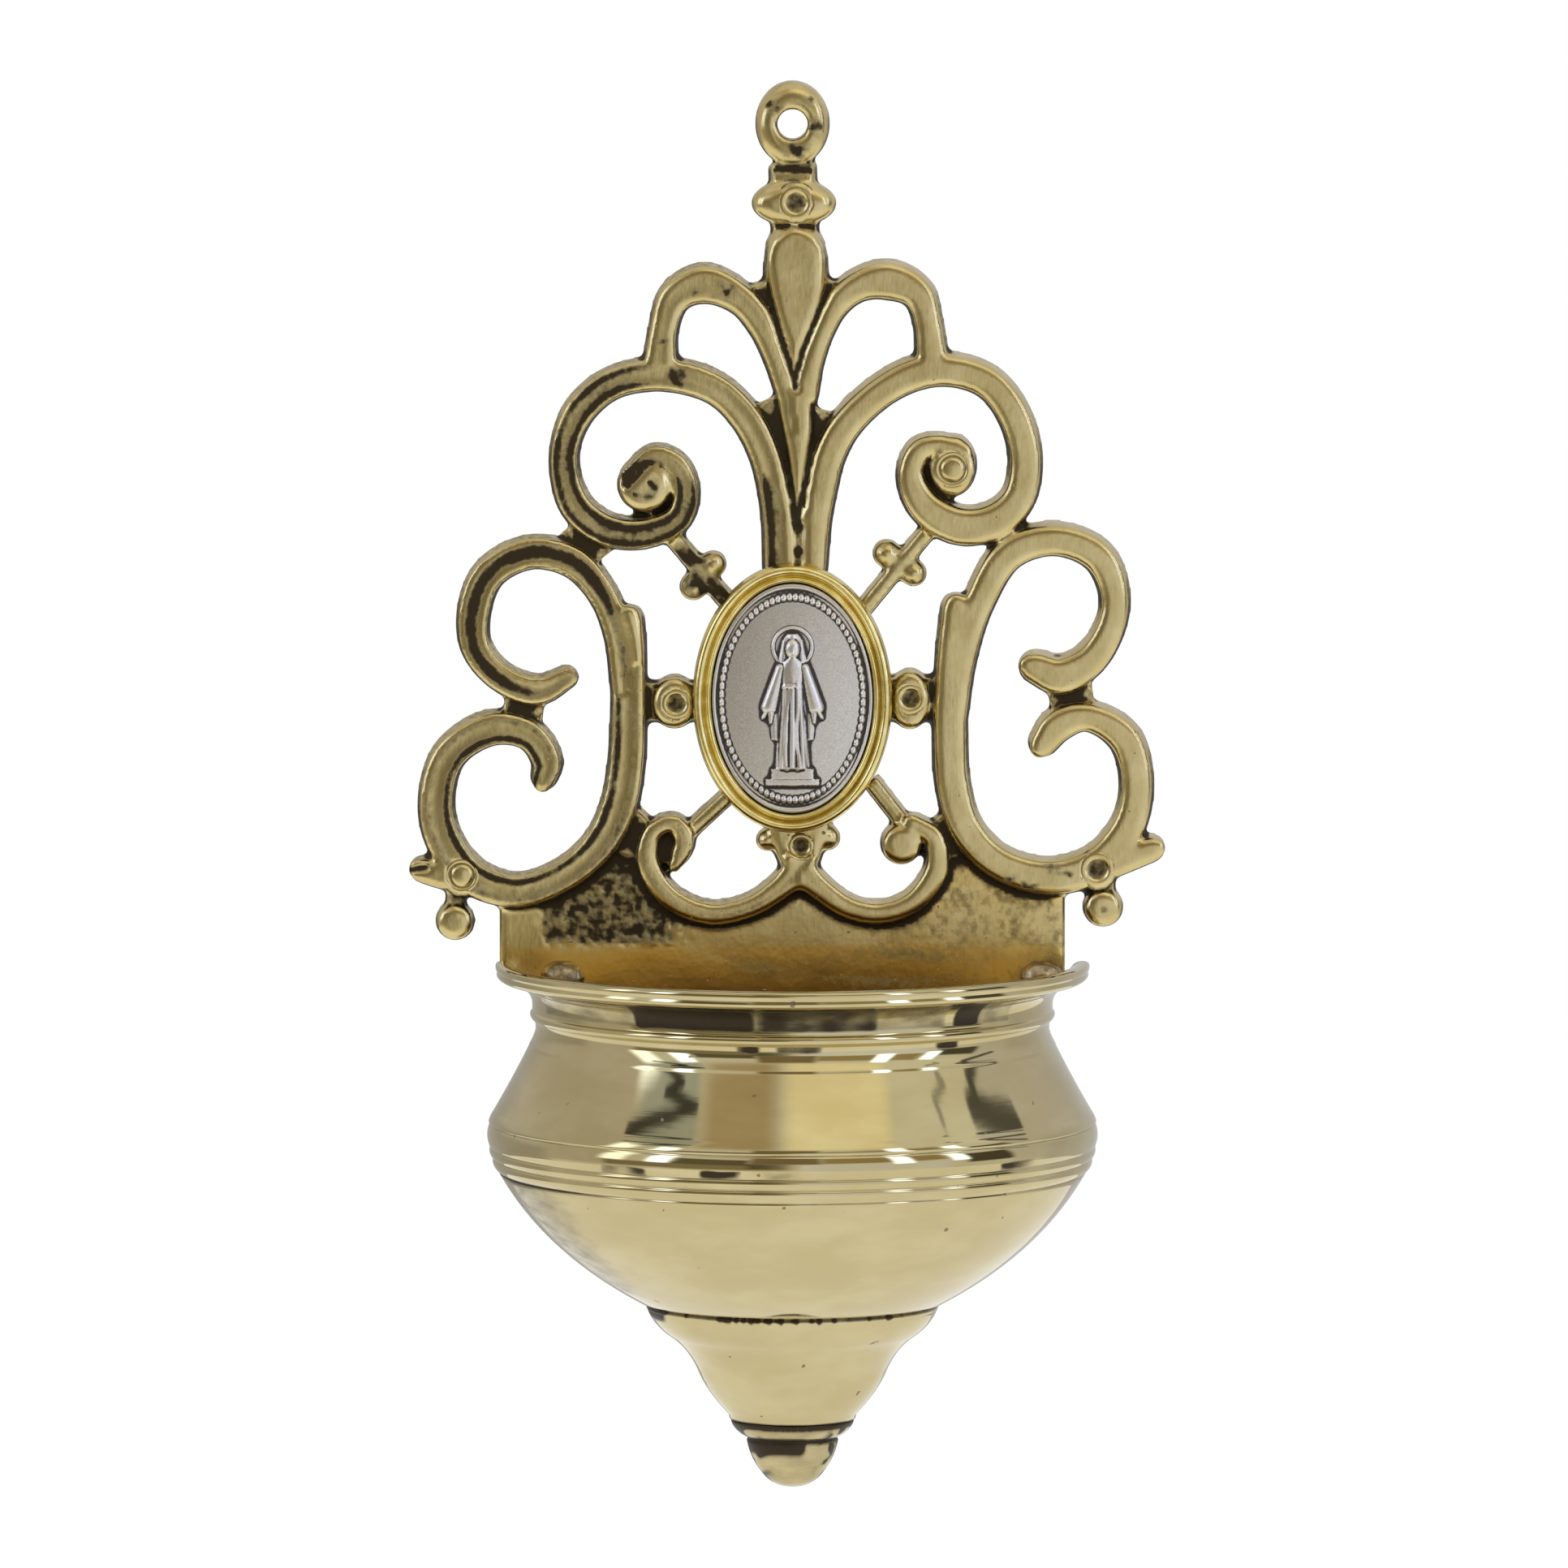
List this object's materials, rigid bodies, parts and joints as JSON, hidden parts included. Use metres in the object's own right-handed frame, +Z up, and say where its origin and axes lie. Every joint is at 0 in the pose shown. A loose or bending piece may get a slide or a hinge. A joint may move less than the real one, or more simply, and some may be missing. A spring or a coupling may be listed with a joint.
{
  "type": "holy water stoup",
  "caption": "Wall-hung holy water stoup in cast brass: pierced scroll back with hanging eye, framed oval medal, and a half-round bowl with a stepped tail.",
  "frame": {"origin": "centre of the hanging hole, on the wall plane", "axes": "+Z up, +Y into the wall so that the front faces -Y, +X to the right seen from the front"},
  "size_m": [0.1067, 0.046, 0.1999],
  "materials": {
    "cast_brass": "cast brass, ground faces, dark patina in the recesses",
    "polished_brass": "polished, slightly worn",
    "gilt_brass": "gilt, bright",
    "oxidised_silver": "silvered and oxidised, dark in the recesses",
    "plain_brass": "plain, unpolished",
    "solder": "soft solder, dull grey"
  },
  "bodies": {
    "root": {"back_plate": "cast_brass", "bowl": "polished_brass", "bowl_tail": "polished_brass", "tail_finial": "polished_brass", "medal_frame": "gilt_brass", "medal": "oxidised_silver", "medal_stud": "plain_brass", "medal_nut": "plain_brass", "solder_fillet_left": "solder", "solder_fillet_right": "solder"}
  },
  "joints": []
}
